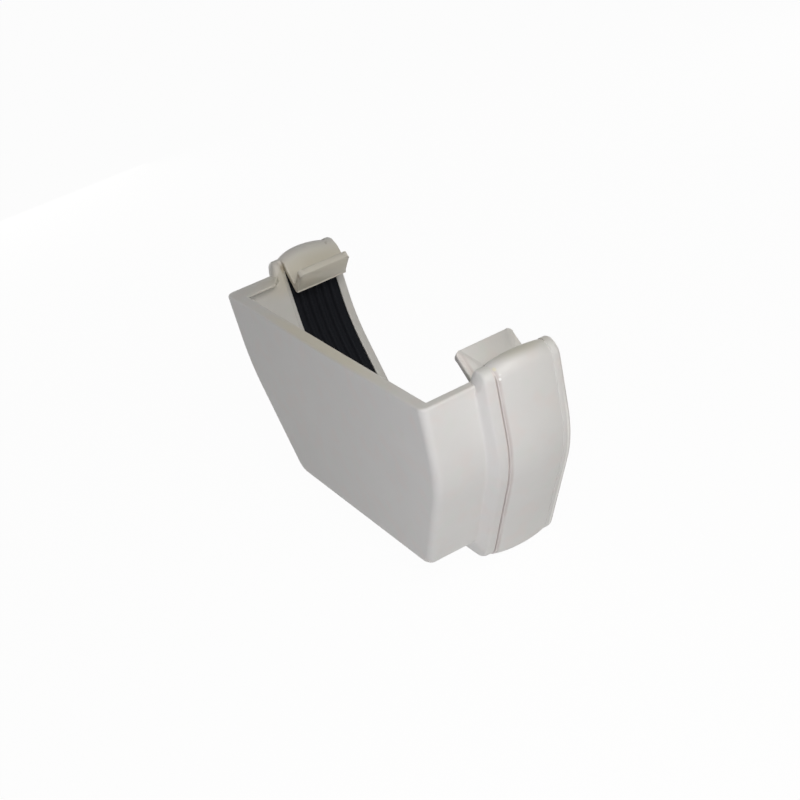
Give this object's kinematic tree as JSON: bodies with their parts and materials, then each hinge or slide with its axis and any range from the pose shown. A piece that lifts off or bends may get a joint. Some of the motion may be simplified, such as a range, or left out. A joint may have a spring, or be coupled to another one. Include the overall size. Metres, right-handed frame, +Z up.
{
  "type": "gutter end cap",
  "caption": "White plastic stop end for a faceted roof gutter: flat end plate, short trough and a collar with a black rubber seal and snap clips.",
  "frame": {"origin": "middle of the gutter's cut end when it is pushed home: mid width, in the plane of the stop face, level with the top of the channel walls", "axes": "+X across the gutter, +Y along the gutter away from the end plate, +Z up"},
  "size_m": [0.125, 0.0365, 0.0652],
  "materials": {
    "white_pvc": "satin moulded uPVC",
    "black_rubber": "matt ribbed EPDM"
  },
  "bodies": {
    "root": {"stop_end_body": "white_pvc", "rubber_seal": "black_rubber"}
  },
  "joints": []
}
